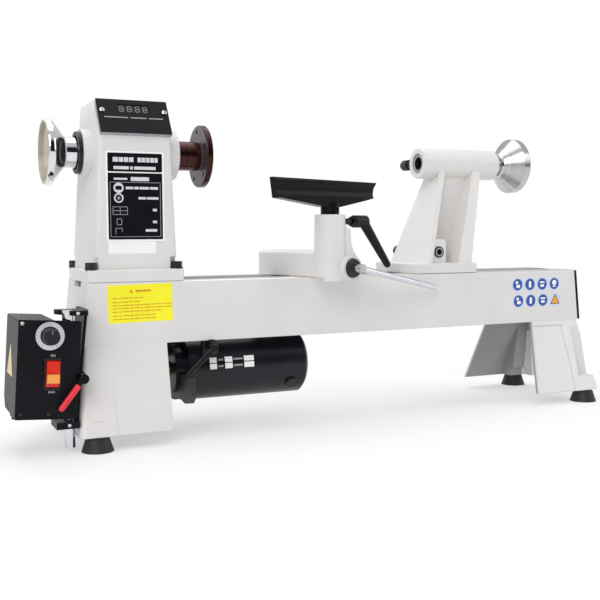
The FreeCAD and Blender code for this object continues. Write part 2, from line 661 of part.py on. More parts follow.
def banjo_casting():
    clear = 0.3             # the base rides this far above the ways
    arm = box(-arm_half_width, arm_half_width, -62, 44, clear, arm_height)
    arm = arm.fuse(rod(0, 44, clear, Z, arm_half_width, arm_height - clear)).removeSplitter()
    arm = rounded(arm, 5, lambda edge: edge.BoundBox.ZMin > arm_height - 0.1)
    post = Part.makeCone(20.5, 19.4, 79 + 4.5, Vec(post_x, post_y, -4.5), Z)
    boss = rod(0, -99, cam_height, Y, 15.8, 50)
    cheek = prism([(post_x + 10, 0.3), (17.5, 0.3), (18.5, cam_height + 3), (16, 26), (10, 33),
                   (6, 42), (post_x + 18.5, 60), (post_x + 10, 64)], "y", -90, -56)
    casting = arm.fuse([post, boss, cheek]).removeSplitter()
    casting = casting.cut([box(-60, 60, -80, 90, -30, clear), box(-60, 60, -120, -79, -30, -4.5)])
    cavity = box(-20, 20, -48, 50, -1, arm_height - 8)
    casting = casting.cut([cavity, rod(0, -100, cam_height, Y, 8 + running, 160),
                           rod(post_x, post_y, 20, Z, 9.6, 70)])
    return at_rest_place(casting.cut(rod(post_x, post_y, 70.5, X, 4 + running, 40)))


def banjo_cam_shaft():
    shaft = rod(0, -100, cam_height, Y, 8, 150)
    collar = Part.makeCone(11, 12.6, 3.8, Vec(0, -103, cam_height), Y)
    nose = rod(0, -118, cam_height, Y, 5.4, 20)
    return at_rest_place(shaft.fuse([collar, nose]).cut(bar_socket()))


bar_y = -112.0


def bar_direction():
    slope = math.radians(11.8)
    return Vec(math.cos(slope), 0, -math.sin(slope))


def bar_socket():
    return Part.makeCylinder(3.8, 8, Vec(0, bar_y, cam_height), bar_direction())


def banjo_lever_bar():
    start = Vec(0, bar_y, cam_height)
    bar = Part.makeCylinder(3.8, 146, start, bar_direction())
    tip = Part.makeCone(3.8, 3, 1, start + bar_direction() * 146, bar_direction())
    return at_rest_place(bar.fuse(tip))


def clamp_bolt(sleeve_radius, cross_bore, height, bore_z):
    """A clamp sleeve with a cross bore for the cam shaft, and its stud down through the slot."""
    sleeve = rod(0, 0, 1, Z, sleeve_radius, height)
    sleeve = sleeve.cut(rod(0, -30, bore_z, Y, cross_bore, 60))
    return sleeve.fuse(rod(0, 0, -36, Z, 6, 38).cut(rod(0, -30, bore_z, Y, cross_bore, 60)))


def clamp_plate(half_length):
    """The plate under the ways, with a key that stays in the slot."""
    top = -way_thickness - 0.4
    plate = box(-half_length, half_length, -31, 31, top - 9, top)
    plate = rounded(plate, 6, upright)
    key = box(-half_length + 8, half_length - 8, -17.4, 17.4, top, top + 8)
    return plate.fuse(key).cut(rod(0, 0, -60, Z, 6 + running, 80))


def clamp_nut():
    top = -way_thickness - 9.5
    nut = hexagon(0, 0, top - 9, 19, 8).fuse(rod(0, 0, top - 1, Z, 11, 1))
    return nut.cut(rod(0, 0, top - 20, Z, 6 + running, 40))


def tool_rest():
    """The blade that the chisel lies on, in the base's frame, its post in the base's bore."""
    low, high = 88.5, 123.0
    side = prism([(-74.5, high - 2.4), (97, high), (88, 98.5), (12, low), (-12, low), (-72, 100.5)],
                 "y", -40, 40)
    nose, throat, back = -9.0, -4.0, 7.0
    mid = (high + low) / 2 + 2
    edges = [Part.LineSegment(Vec(-120, nose + 3.2, high), Vec(-120, nose, high - 3.5)),
             Part.Arc(Vec(-120, nose, high - 3.5), Vec(-120, throat, mid + 2),
                      Vec(-120, nose + 0.5, 98)),
             Part.LineSegment(Vec(-120, nose + 0.5, 98), Vec(-120, nose + 2, low)),
             Part.LineSegment(Vec(-120, nose + 2, low), Vec(-120, back + 3, low)),
             Part.LineSegment(Vec(-120, back + 3, low), Vec(-120, back - 6, high)),
             Part.LineSegment(Vec(-120, back - 6, high), Vec(-120, nose + 3.2, high))]
    section = Part.Face(Part.Wire([edge.toShape() for edge in edges])).extrude(X * 240)
    blade = section.common(mirror_x(side))
    blade = blade.fuse(rod(0, 0, 79.3, Z, 11.8, 14))
    blade = blade.cut(rod(0, 0, 70, Z, 9.5 + running, 22)).cut(rod(2, -14, 86, Y, 1.8, 6))
    blade.translate(Vec(post_x, post_y, 0))
    parts["tool_rest_blade"] = at_rest_place(blade)
    parts["tool_rest_post"] = at_rest_place(rod(post_x, post_y, 24, Z, 9.5, 68))


def mirror_x(shape):
    return shape.mirror(Vec(0, 0, 0), X)


def rest_lock_lever():
    root = Vec(post_x + 12, post_y, 70.5)
    handle = ratchet_handle(root, X, Vec(0.545, -0.122, -0.83), 68, (8, 22, 24), (6.8, 4.6))
    return at_rest_place(handle)


# ---- tailstock ----------------------------------------------------------------------
def tail_column():
    """The leaning column between base and barrel."""
    low, high = bed_top + 12, bed_top + 150
    side = prism([(463, low), (536, low), (574, high), (506, high)], "y", -60, 60)
    front = prism([(-50, low), (50, low), (17, high), (-17, high)], "x", 400, 640)
    return side.common(front)


def tailstock_casting():
    clear = 0.3
    base = box(440.5, 542, -bed_half_width, bed_half_width, bed_top + clear, bed_top + 13.5)
    base = rounded(base, 4, upright)
    base = rounded(base, 1.5, lambda edge: edge.BoundBox.ZMin > bed_top + 13)
    barrel = rod(barrel_left, 0, spindle_z, X, barrel_radius, barrel_right - barrel_left)
    column = tail_column()
    column = rounded(column, 2, lambda edge: edge.BoundBox.ZLength > 60)
    opening = prism([(471, bed_top + 12), (513, bed_top + 12), (560, bed_top + 150),
                     (514, bed_top + 150)], "y", -60, 60)
    pockets = [opening.common(box(400, 640, *sorted((side * 9, side * 60)),
                                  bed_top + 13.5, spindle_z)) for side in (-1, 1)]
    boss = box(tail_x - 12, tail_x + 12, -42, 42, bed_top + 5, bed_top + 46.5)
    boss = rounded(boss, 5, lambda edge: edge.BoundBox.ZMin > bed_top + 46 and edge.BoundBox.YLength > 80)
    casting = column.cut(pockets).fuse([base, barrel, boss]).removeSplitter()
    casting = casting.cut(box(tail_x - 13, tail_x + 13, -15, 15, bed_top - 1, bed_top + 42))
    casting = casting.cut([rod(tail_x, -60, bed_top + 28.8, Y, 7.5 + running, 120),
                           rod(barrel_left - 1, 0, spindle_z, X, quill_radius + running, 130),
                           rod(484, 10, spindle_z, Y, 3.3 + running, 30)])
    return rounded(casting, 1, lambda edge: abs(edge.BoundBox.XMin - barrel_left) < 0.01
                   and edge.BoundBox.XLength < 0.01 and edge.BoundBox.YLength > 30)


def quill():
    body = rod(barrel_left + 1.5, 0, spindle_z, X, quill_radius, 111)
    taper = Part.makeCone(8.9, 7.6, 52, Vec(barrel_left + 1.5, 0, spindle_z), X)
    keyway = box(barrel_left + 3.2, barrel_left + quill_travel + 12, 11.5, 16,
                 spindle_z - 3.8, spindle_z + 3.8)
    body = body.cut([taper, rod(barrel_left + 50, 0, spindle_z, X, 8.6, 80), keyway])
    return rounded(body, 0.8, lambda edge: edge.BoundBox.XMax < barrel_left + 2
                   and edge.BoundBox.YLength > 27)


def feed_screw():
    return turned([(533, 0), (533, 7), (534, 8), (591.5, 8), (591.5, 13.6), (601, 13.6),
                   (601, 8), (640, 8), (640, 0)], 0, spindle_z)


def tail_handwheel():
    outside = [(602.8, 8), (602.8, 16), (606.5, 16), (607, 14.5), (610, 14.5), (611, 16.5),
               (614, 17.5), (633, 37.5), (634.5, wheel_radius), (644, wheel_radius),
               (646, 37.3), (646, 33), (641, 31), (630, 20), (628, 14), (632, 12), (632, 8)]
    return turned(outside, 0, spindle_z)


def quill_lock_knob():
    knob = turned_along_y([(12.5, 0), (12.5, 3.3), (24, 3.3), (24, 5.5), (31, 5.5), (32, 7.6),
                           (45, 7.6), (49, 5.6), (51, 0)], 484, 0, spindle_z)
    grooves = [rod(484 + 8.6 * math.cos(math.radians(45 * i)), 33,
                   spindle_z + 8.6 * math.sin(math.radians(45 * i)), Y, 1.9, 20) for i in range(8)]
    return knob.cut(grooves)


def tail_cam_shaft():
    z = bed_top + 28.8
    shaft = rod(tail_x, -43.5, z, Y, 7.5, 112)
    return shaft.cut([hexagon_y(tail_x, -44, z, 6, 5),
                      Part.makeCylinder(3.6, 9, Vec(tail_x, 62, z), tail_lever_direction)])


def hexagon_y(x, y, z, across_flats, depth):
    corner = across_flats / math.sqrt(3)
    points = [(x + corner * math.cos(math.radians(60 * i)),
               z + corner * math.sin(math.radians(60 * i))) for i in range(6)]
    return prism(points, "y", y, y + depth)


tail_lever_direction = Vec(0.42, 0, 0.907).normalize()


def tail_clamp_lever():
    start = Vec(tail_x, 62, bed_top + 28.8)
    bar = Part.makeCylinder(3.6, 96, start, tail_lever_direction)
    return bar.fuse(Part.makeSphere(6.5, start + tail_lever_direction * 96))


def moved(shape, x):
    shape.translate(Vec(x, 0, bed_top))
    return shape


# ---- assembly -----------------------------------------------------------------------
def build():
    parts["bed_casting"] = bed_casting()
    parts["bed_end_plate"] = end_plate()
    feet()
    parts["headstock_casting"] = headstock_casting()
    parts["headstock_bolts"] = headstock_bolts()
    parts["belt_door"] = belt_door()
    display()
    parts["nameplate"] = box(27, 92, -head_depth - 0.8, -head_depth, bed_top + 49.5, bed_top + 150)
    parts["spindle_bearings"] = bearings()
    parts["bearing_cover"] = ring(0, 0, spindle_z, X, 25, 20.2, 5)
    parts["spindle"] = spindle()
    parts["spindle_pulley"] = stepped_pulley(spindle_pulley_steps, spindle_radius, spindle_z)
    parts["spindle_handwheel"] = spindle_handwheel()
    parts["faceplate"] = faceplate()
    parts["drive_belt"] = drive_belt()
    motor()
    parts["motor_lock_lever"] = motor_lock_lever()
    parts["hinge_pins"] = Part.makeCompound([rod(pivot_lug - 2, swing_y, swing_z, X, 5, 31),
                                             rod(24, head_depth + 5, 219, Z, 2, 162)])
    control_box()
    parts["control_bracket"] = control_bracket()
    parts["knockout_rod"] = knockout_rod()
    parts["tension_lever"] = tension_lever()
    parts["tension_grip"] = tension_grip()
    parts["banjo_casting"] = banjo_casting()
    parts["banjo_cam_shaft"] = banjo_cam_shaft()
    parts["banjo_lever_bar"] = banjo_lever_bar()
    parts["banjo_clamp_bolt"] = at_rest_place(clamp_bolt(11, 8.4, 21, cam_height))
    parts["banjo_clamp_plate"] = moved(clamp_plate(28), rest_x)
    parts["banjo_clamp_nut"] = moved(clamp_nut(), rest_x)
    tool_rest()
    parts["rest_lock_lever"] = rest_lock_lever()
    parts["tailstock_casting"] = tailstock_casting()
    parts["quill"] = quill()
    parts["feed_screw"] = feed_screw()
    parts["tail_handwheel"] = tail_handwheel()
    parts["quill_lock_knob"] = quill_lock_knob()
    parts["tail_cam_shaft"] = tail_cam_shaft()
    parts["tail_clamp_lever"] = tail_clamp_lever()
    parts["tail_clamp_bolt"] = moved(clamp_bolt(11.5, 7.9, 39, 28.8), tail_x)
    parts["tail_clamp_plate"] = moved(clamp_plate(30), tail_x)
    parts["tail_clamp_nut"] = moved(clamp_nut(), tail_x)
    screws = [screw(*where) for where in end_plate_points() + display_points()]
    screws += [tilted(screw(x, y, z, Y * -1, fine_screw)) for x, y, z in panel_points()]
    screws += [screw(x, y, z, Y * -1, fine_screw) for x, y, z in bracket_points()]
    parts["panel_screws"] = Part.makeCompound(screws)


build()
whole = Part.makeCompound(list(parts.values())).optimalBoundingBox(False, False)
shift = Vec(-whole.Center.x, -whole.Center.y, -whole.ZMin)

os.makedirs("parts", exist_ok=True)
for name, shape in parts.items():
    shape.translate(shift)
    shape.exportStep("parts/" + name + ".step")
print(len(parts), "nodes, box", round(whole.XLength, 1), round(whole.YLength, 1),
      round(whole.ZLength, 1), "shift", [round(v, 2) for v in shift])
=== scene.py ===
import bpy
import bmesh
import math
from mathutils import Matrix, Vector


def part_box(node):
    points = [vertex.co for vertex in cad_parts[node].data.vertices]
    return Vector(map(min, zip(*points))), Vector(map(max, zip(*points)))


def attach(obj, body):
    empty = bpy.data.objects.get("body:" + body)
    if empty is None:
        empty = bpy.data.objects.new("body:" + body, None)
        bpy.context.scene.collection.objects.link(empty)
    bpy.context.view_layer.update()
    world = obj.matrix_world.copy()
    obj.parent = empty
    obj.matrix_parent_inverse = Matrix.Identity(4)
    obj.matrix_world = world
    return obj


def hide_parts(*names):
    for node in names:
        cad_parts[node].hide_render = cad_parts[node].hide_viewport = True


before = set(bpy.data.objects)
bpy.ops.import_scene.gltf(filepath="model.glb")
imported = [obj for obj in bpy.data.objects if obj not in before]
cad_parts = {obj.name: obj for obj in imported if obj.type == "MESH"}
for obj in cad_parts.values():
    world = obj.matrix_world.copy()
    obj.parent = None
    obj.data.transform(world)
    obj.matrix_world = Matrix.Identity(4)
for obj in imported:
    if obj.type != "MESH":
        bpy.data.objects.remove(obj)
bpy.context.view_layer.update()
print("frame loaded:", len(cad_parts), "nodes")

mm = 0.001


def centre(node):
    low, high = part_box(node)
    return (low + high) / 2


# sizes are in mm from the bed's left end, the spindle's line and the floor, as a maker measures
leftFoot = centre("foot_front_left")
bedLeft = Vector((leftFoot.x - 2 * mm, centre("faceplate").y, 0))


def at(x, y, z):
    return bedLeft + Vector((x, y, z)) * mm


def srgb(hexColor):
    parts = [int(hexColor[i:i + 2], 16) / 255 for i in (1, 3, 5)]
    return tuple(c / 12.92 if c <= 0.04045 else ((c + 0.055) / 1.055) ** 2.4 for c in parts) + (1.0,)


def addNode(tree, kind, values=None, links=None, **settings):
    node = tree.nodes.new(kind)
    for name, value in settings.items():
        setattr(node, name, value)
    for socket, value in (values or {}).items():
        node.inputs[socket].default_value = value
    for socket, source in (links or {}).items():
        tree.links.new(source, node.inputs[socket])
    return node


def plainStart(name, color, roughness, metallic=0.0, ior=1.5, coat=0.0):
    material = bpy.data.materials.new(name)
    material.use_nodes = True
    material.diffuse_color = srgb(color)
    tree = material.node_tree
    shader = tree.nodes["Principled BSDF"]
    shader.inputs["Base Color"].default_value = srgb(color)
    shader.inputs["Roughness"].default_value = roughness
    shader.inputs["Metallic"].default_value = metallic
    shader.inputs["Coat Weight"].default_value = coat
    shader.inputs["Coat Roughness"].default_value = 0.12
    if metallic < 0.5:
        shader.inputs["IOR"].default_value = ior
    place = addNode(tree, "ShaderNodeTexCoord").outputs["Object"]
    return material, tree, shader, place


def finish(name, dark, light, gloss, mottleMm, grainMm, depthMm, metallic=0.0, ior=1.5, coat=0.0,
           edgeMm=0.0):
    # a soft mottle in colour and gloss, and a fine grain that catches the light
    material, tree, shader, place = plainStart(name, light, gloss[1], metallic, ior, coat)
    mottle = addNode(tree, "ShaderNodeTexNoise", {"Scale": 1000 / mottleMm, "Detail": 4.0, "Roughness": 0.6},
                     {"Vector": place})
    color = addNode(tree, "ShaderNodeValToRGB", links={"Fac": mottle.outputs["Fac"]})
    color.color_ramp.elements[0].position = 0.32
    color.color_ramp.elements[0].color = srgb(dark)
    color.color_ramp.elements[1].position = 0.66
    color.color_ramp.elements[1].color = srgb(light)
    shine = addNode(tree, "ShaderNodeMapRange", {"To Min": gloss[0], "To Max": gloss[1]},
                    {"Value": mottle.outputs["Fac"]})
    grain = addNode(tree, "ShaderNodeTexNoise", {"Scale": 1000 / grainMm, "Detail": 2.0}, {"Vector": place})
    bump = addNode(tree, "ShaderNodeBump", {"Strength": 0.6, "Distance": depthMm * mm},
                   {"Height": grain.outputs["Fac"]})
    if edgeMm:                                # the soft edge that a sand mould leaves
        soft = addNode(tree, "ShaderNodeBevel", {"Radius": edgeMm * mm}, samples=6)
        tree.links.new(soft.outputs["Normal"], bump.inputs["Normal"])
    tree.links.new(color.outputs["Color"], shader.inputs["Base Color"])
    tree.links.new(shine.outputs["Result"], shader.inputs["Roughness"])
    tree.links.new(bump.outputs["Normal"], shader.inputs["Normal"])
    return material


def placeOnAxis(tree, place, axisY, axisZ):
    # where a point lies along an axis that runs lengthwise, and how far it is from it
    moved = addNode(tree, "ShaderNodeMapping", {"Location": (0, -axisY, -axisZ)}, {"Vector": place})
    apart = addNode(tree, "ShaderNodeSeparateXYZ", links={"Vector": moved.outputs["Vector"]})
    across = addNode(tree, "ShaderNodeCombineXYZ", links={"Y": apart.outputs["Y"], "Z": apart.outputs["Z"]})
    radius = addNode(tree, "ShaderNodeVectorMath", links={0: across.outputs["Vector"]}, operation="LENGTH")
    return apart.outputs["X"], radius.outputs["Value"]


def turned(name, color, gloss, axisY, axisZ, markMm, depthMm, metallic=1.0, dark=None):
    # lathe-turned metal: fine tool marks that run round the axis, on the rims and on the faces
    material, tree, shader, place = plainStart(name, color, gloss, metallic)
    along, radius = placeOnAxis(tree, place, axisY, axisZ)
    marksPlace = addNode(tree, "ShaderNodeCombineXYZ", links={"X": along, "Y": radius})
    marks = addNode(tree, "ShaderNodeTexNoise", {"Scale": 1000 / markMm, "Detail": 3.0, "Roughness": 0.7},
                    {"Vector": marksPlace.outputs["Vector"]})
    shine = addNode(tree, "ShaderNodeMapRange", {"To Min": gloss * 0.7, "To Max": gloss * 1.35},
                    {"Value": marks.outputs["Fac"]})
    tone = addNode(tree, "ShaderNodeValToRGB", links={"Fac": marks.outputs["Fac"]})
    tone.color_ramp.elements[0].position = 0.35
    tone.color_ramp.elements[0].color = srgb(dark or color)
    tone.color_ramp.elements[1].position = 0.6
    tone.color_ramp.elements[1].color = srgb(color)
    bump = addNode(tree, "ShaderNodeBump", {"Strength": 0.5, "Distance": depthMm * mm},
                   {"Height": marks.outputs["Fac"]})
    tree.links.new(tone.outputs["Color"], shader.inputs["Base Color"])
    tree.links.new(shine.outputs["Result"], shader.inputs["Roughness"])
    tree.links.new(bump.outputs["Normal"], shader.inputs["Normal"])
    return material


def castEnamel(name, dark="#DCDAD8", light="#E2E0DE"):
    # sprayed enamel over filled cast iron: smooth with a slight orange peel, satin
    return finish(name, dark, light, (0.34, 0.42), 80, 2.2, 0.04, coat=0.15, edgeMm=1.4)


def compare(tree, value, limit, operation):
    return addNode(tree, "ShaderNodeMath", {1: limit}, {0: value}, operation=operation).outputs["Value"]


def both(tree, first, second):
    product = addNode(tree, "ShaderNodeMath", links={0: first, 1: second}, operation="MULTIPLY")
    return product.outputs["Value"]


def secondFinish(material, mask, color, roughness, metallic=0.0, normal=None):
    # where the mask is 1 the piece has another finish
    tree = material.node_tree
    second = addNode(tree, "ShaderNodeBsdfPrincipled",
                     {"Base Color": srgb(color), "Roughness": roughness, "Metallic": metallic},
                     {"Normal": normal} if normal else None)
    first = tree.nodes["Principled BSDF"].outputs["BSDF"]
    either = addNode(tree, "ShaderNodeMixShader", links={0: mask, 1: first, 2: second.outputs["BSDF"]})
    tree.links.new(either.outputs["Shader"], tree.nodes["Material Output"].inputs["Surface"])
    return material


def chromeWheel():
    # polished outside; the dish is only bead-blasted before plating, and warmer
    material = turned("polished chrome plate, matt dish", "#DCDDE1", 0.045, spindleY, spindleZ, 3.0, 0.003)
    tree = material.node_tree
    place = tree.nodes["Texture Coordinate"].outputs["Object"]
    along, radius = placeOnAxis(tree, place, spindleY, spindleZ)
    # the middle of the dish's wall, from 20 mm at its root to 35 mm at the rim
    wall = addNode(tree, "ShaderNodeMapRange", {"From Min": at(-17, 0, 0).x, "From Max": at(-29, 0, 0).x,
                                                "To Min": 20 * mm, "To Max": 35 * mm}, {"Value": along})
    within = addNode(tree, "ShaderNodeMath", links={0: radius, 1: wall.outputs["Result"]},
                     operation="LESS_THAN")
    dish = both(tree, within.outputs["Value"], compare(tree, along, at(-17.95, 0, 0).x, "LESS_THAN"))
    return secondFinish(material, dish, "#C3BDAE", 0.42, 0.75)


def bluedFaceplate():
    # blued all over, and rubbed back to a greyer steel on the flange's faces
    material = turned("blued steel, oiled", "#4A2A26", 0.24, spindleY, spindleZ, 1.6, 0.02,
                      metallic=0.85, dark="#2A1A19")
    tree = material.node_tree
    place = tree.nodes["Texture Coordinate"].outputs["Object"]
    along, radius = placeOnAxis(tree, place, spindleY, spindleZ)
    face = both(tree, compare(tree, along, at(152.5, 0, 0).x, "GREATER_THAN"),
                compare(tree, radius, 37.9 * mm, "LESS_THAN"))
    return secondFinish(material, face, "#6A666A", 0.36, 0.8)


def panelScrews():
    # bright screws, but for the two black ones at the foot of the control panel
    material = finish("bright zinc plate, two black", "#B9BABA", "#D2D2D0", (0.22, 0.34), 4, 0.8, 0.01,
                      metallic=1.0)
    tree = material.node_tree
    apart = addNode(tree, "ShaderNodeSeparateXYZ",
                    links={"Vector": tree.nodes["Texture Coordinate"].outputs["Object"]})
    low = both(tree, compare(tree, apart.outputs["Z"], at(0, 0, 60).z, "LESS_THAN"),
               compare(tree, apart.outputs["X"], at(-36, 0, 0).x, "LESS_THAN"))
    return secondFinish(material, low, "#15151A", 0.4)


def bedEnamel():
    # the same enamel, a darker grey of painted shade over the inside of the casting, and the two ways ground
    # bright on top
    material = castEnamel("bed enamel, ground ways")
    tree = material.node_tree
    paint = tree.nodes["Principled BSDF"]
    place = tree.nodes["Texture Coordinate"].outputs["Object"]
    apart = addNode(tree, "ShaderNodeSeparateXYZ", links={"Vector": place})
    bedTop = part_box("bed_casting")[1].z
    level = apart.outputs["Z"]
    fromMiddle = addNode(tree, "ShaderNodeMath", {1: at(0, 0, 0).y}, {0: apart.outputs["Y"]},
                         operation="SUBTRACT")
    aside = addNode(tree, "ShaderNodeMath", links={0: fromMiddle.outputs["Value"]}, operation="ABSOLUTE")
    # the middle of the wall: 51 mm out in the beam, spreading to 88 mm at the legs' feet
    wall = addNode(tree, "ShaderNodeMapRange", {"From Min": 17 * mm, "From Max": 116 * mm,
                                                "To Min": 88 * mm, "To Max": 51 * mm}, {"Value": level})
    within = addNode(tree, "ShaderNodeMath", links={0: aside.outputs["Value"], 1: wall.outputs["Result"]},
                     operation="LESS_THAN").outputs["Value"]
    # but the recessed corner above each right-hand foot is outside
    corner = both(tree, compare(tree, apart.outputs["X"], at(698, 0, 0).x, "GREATER_THAN"),
                  compare(tree, fromMiddle.outputs["Value"], -54.5 * mm, "LESS_THAN"))
    notCorner = addNode(tree, "ShaderNodeMath", {0: 1.0}, {1: corner}, operation="SUBTRACT").outputs["Value"]
    lengthwise = both(tree, compare(tree, apart.outputs["X"], at(5, 0, 0).x, "GREATER_THAN"),
                      compare(tree, apart.outputs["X"], at(717, 0, 0).x, "LESS_THAN"))
    # painted shade: the inside of the legs and beam, where the light falls least, is coloured a darker grey
    shadedInside = both(tree, both(tree, within, lengthwise),
                  both(tree, notCorner, compare(tree, level, bedTop - 1.6 * mm, "LESS_THAN")))
    # the lug that the motor's lock handle screws into is black
    lugMiddle, lugReach = at(149, -45, 106), 15 * mm
    fromLug = addNode(tree, "ShaderNodeVectorMath", {1: lugMiddle}, {0: place}, operation="DISTANCE")
    lug = compare(tree, fromLug.outputs["Value"], lugReach, "LESS_THAN")
    color = tree.nodes["Color Ramp"].outputs["Color"]
    for mask, hexColor in ((shadedInside, "#9B9A98"), (lug, "#15151A")):
        tone = addNode(tree, "ShaderNodeMix", {"B": srgb(hexColor)}, {"Factor": mask, "A": color},
                       data_type="RGBA")
        color = tone.outputs["Result"]
    tree.links.new(color, paint.inputs["Base Color"])
    ground = compare(tree, level, bedTop - 0.6 * mm, "GREATER_THAN")
    stretched = addNode(tree, "ShaderNodeMapping", {"Scale": (1, 14, 1)}, {"Vector": place})
    scratches = addNode(tree, "ShaderNodeTexNoise", {"Scale": 120.0, "Detail": 5.0},
                        {"Vector": stretched.outputs["Vector"]})
    bump = addNode(tree, "ShaderNodeBump", {"Strength": 0.4, "Distance": 0.02 * mm},
                   {"Height": scratches.outputs["Fac"]})
    return secondFinish(material, ground, "#E6E5E3", 0.28, 1.0, bump.outputs["Normal"])


def camSteel():
    # the tool-rest's cam shaft: bright steel with a blackened collar against the casting
    material = turned("bright cam shaft, black collar", "#C4C5C8", 0.16, spindleY, spindleZ, 0.8, 0.01)
    tree = material.node_tree
    turn = math.radians(16)
    along = Vector((-math.sin(turn), math.cos(turn), 0))
    start = at(296, 0, 190).dot(along)
    reach = addNode(tree, "ShaderNodeVectorMath", {1: along},
                    {0: tree.nodes["Texture Coordinate"].outputs["Object"]}, operation="DOT_PRODUCT")
    collar = both(tree, compare(tree, reach.outputs["Value"], start - 103.3 * mm, "GREATER_THAN"),
                  compare(tree, reach.outputs["Value"], start - 99.02 * mm, "LESS_THAN"))
    return secondFinish(material, collar, "#0D0D10", 0.35)


spindleY, spindleZ = centre("faceplate").y, centre("faceplate").z
motorZ = centre("motor_pulley").z
finishes = {
    "enamel": castEnamel("cast enamel"),
    "bed": bedEnamel(),
    "powder": finish("black powder coat", "#09090F", "#0F0F17", (0.36, 0.48), 30, 0.9, 0.05, ior=1.26),
    "chrome": chromeWheel(),
    "rodChrome": finish("chrome plated rod", "#CFD2D8", "#DADCE2", (0.06, 0.12), 20, 3.0, 0.004,
                        metallic=1.0),
    "turnedSteel": turned("turned bright steel", "#B9B9BC", 0.24, spindleY, spindleZ, 0.8, 0.02,
                          dark="#A4A3A4"),
    "tailWheel": turned("turned aluminium", "#C6C6C8", 0.2, spindleY, spindleZ, 1.1, 0.02, dark="#A9A8A8"),
    "blackOxide": bluedFaceplate(),
    "pulley": turned("turned pulley aluminium", "#B4B5B8", 0.3, spindleY, spindleZ, 1.0, 0.02,
                     dark="#9A9B9E"),
    "motorPulley": turned("turned motor pulley", "#B4B5B8", 0.3, spindleY, motorZ, 1.0, 0.02,
                          dark="#9A9B9E"),
    "armature": turned("stacked core plates", "#8C7A66", 0.4, spindleY, motorZ, 0.9, 0.03, dark="#6F6255"),
    "blackCast": finish("blackened cast iron", "#050508", "#0A0A0E", (0.24, 0.36), 14, 1.1, 0.08, ior=1.25),
    "camSteel": camSteel(),
    "rubber": finish("moulded rubber", "#15161B", "#1E1F26", (0.5, 0.66), 16, 0.8, 0.05, ior=1.52),
    "abs": finish("moulded ABS", "#0D0D11", "#131318", (0.34, 0.46), 22, 0.7, 0.03, ior=1.45),
    "nylon": finish("glass-filled nylon", "#060608", "#0B0B0F", (0.3, 0.42), 12, 0.8, 0.06, ior=1.34),
    "switchRed": finish("moulded red plastic", "#D8200F", "#E62A18", (0.2, 0.3), 20, 1.0, 0.01, ior=1.53),
    "keyYellow": finish("moulded amber plastic", "#F0973C", "#F7A94E", (0.24, 0.34), 20, 1.0, 0.01,
                        ior=1.53),
    "redSleeve": finish("dipped red vinyl", "#D81F30", "#E62B3B", (0.2, 0.32), 14, 1.4, 0.04, ior=1.53),
    "zinc": finish("bright zinc plate", "#B9BABA", "#D2D2D0", (0.22, 0.34), 4, 0.8, 0.01, metallic=1.0),
    "panelScrews": panelScrews(),
    "darkZinc": finish("blackened bolts", "#121216", "#1C1C21", (0.3, 0.42), 6, 0.8, 0.02),
    "housing": finish("silver-grey display housing", "#8E9096", "#A2A4AA", (0.32, 0.42), 30, 1.0, 0.02),
    "plate": finish("black printed plate", "#0B0B0F", "#0F0F14", (0.4, 0.5), 40, 1.0, 0.01, ior=1.25),
    "dialRing": finish("brushed dial ring", "#D2D3DB", "#E2E3EA", (0.24, 0.36), 8, 0.7, 0.015, metallic=0.5),
    "motorEnamel": finish("black motor enamel", "#0B0B14", "#11111D", (0.26, 0.36), 30, 1.6, 0.03, ior=1.42),
    # painted shade: the motor's bracket stands in shade, and its dark grey stands in for that shade
    "shadeGreyPlate": finish("dark grey painted plate", "#2C2D31", "#36373C", (0.42, 0.55), 30, 1.2, 0.05),
}
nodeFinishes = {
    "enamel": ["headstock_casting", "banjo_casting", "tailstock_casting", "belt_door"],
    "bed": ["bed_casting"],
    "powder": ["bed_end_plate", "control_box", "control_panel", "control_bracket"],
    "chrome": ["spindle_handwheel"],
    "rodChrome": ["banjo_lever_bar", "knockout_rod", "tail_clamp_lever"],
    "turnedSteel": ["spindle", "spindle_bearings", "quill", "feed_screw", "hinge_pins", "banjo_clamp_bolt",
                    "tail_clamp_bolt"],
    "camSteel": ["banjo_cam_shaft"],
    "tailWheel": ["tail_handwheel"],
    "blackOxide": ["faceplate"],
    "pulley": ["spindle_pulley"],
    "motorPulley": ["motor_pulley"],
    "armature": ["motor_armature"],
    "blackCast": ["tool_rest_blade", "tool_rest_post", "banjo_clamp_plate", "tail_clamp_plate",
                  "tension_lever"],
    "rubber": ["foot_front_left", "foot_front_right", "foot_rear_left", "foot_rear_right", "drive_belt"],
    "abs": ["bearing_cover", "switch_frame", "cable_gland", "brush_caps", "speed_knob"],
    "nylon": ["rest_lock_lever", "motor_lock_lever", "quill_lock_knob"],
    "switchRed": ["switch_paddle"],
    "keyYellow": ["safety_key"],
    "redSleeve": ["tension_grip"],
    "panelScrews": ["panel_screws"],
    "zinc": ["foot_bolts", "banjo_clamp_nut", "tail_clamp_nut"],
    "darkZinc": ["headstock_bolts", "tail_cam_shaft"],
    "housing": ["display_housing"],
    "plate": ["display_panel", "nameplate"],
    "dialRing": ["dial_plate"],
    "motorEnamel": ["motor_shell", "motor_rear_bell"],
    "shadeGreyPlate": ["motor_bracket"],
}
for key, nodes in nodeFinishes.items():
    for node in nodes:
        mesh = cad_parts[node].data
        mesh.materials.clear()
        mesh.materials.append(finishes[key])
print("finishes on", sum(len(nodes) for nodes in nodeFinishes.values()), "nodes")


# ways to build: every piece is made in its place, on a face with u to the right, v up and w outwards, in mm
def facing(origin, right, up):
    right, up = Vector(right).normalized(), Vector(up).normalized()
    turn = Matrix((right, up, right.cross(up))).transposed().to_4x4()
    return Matrix.Translation(origin) @ turn @ Matrix.Scale(mm, 4)


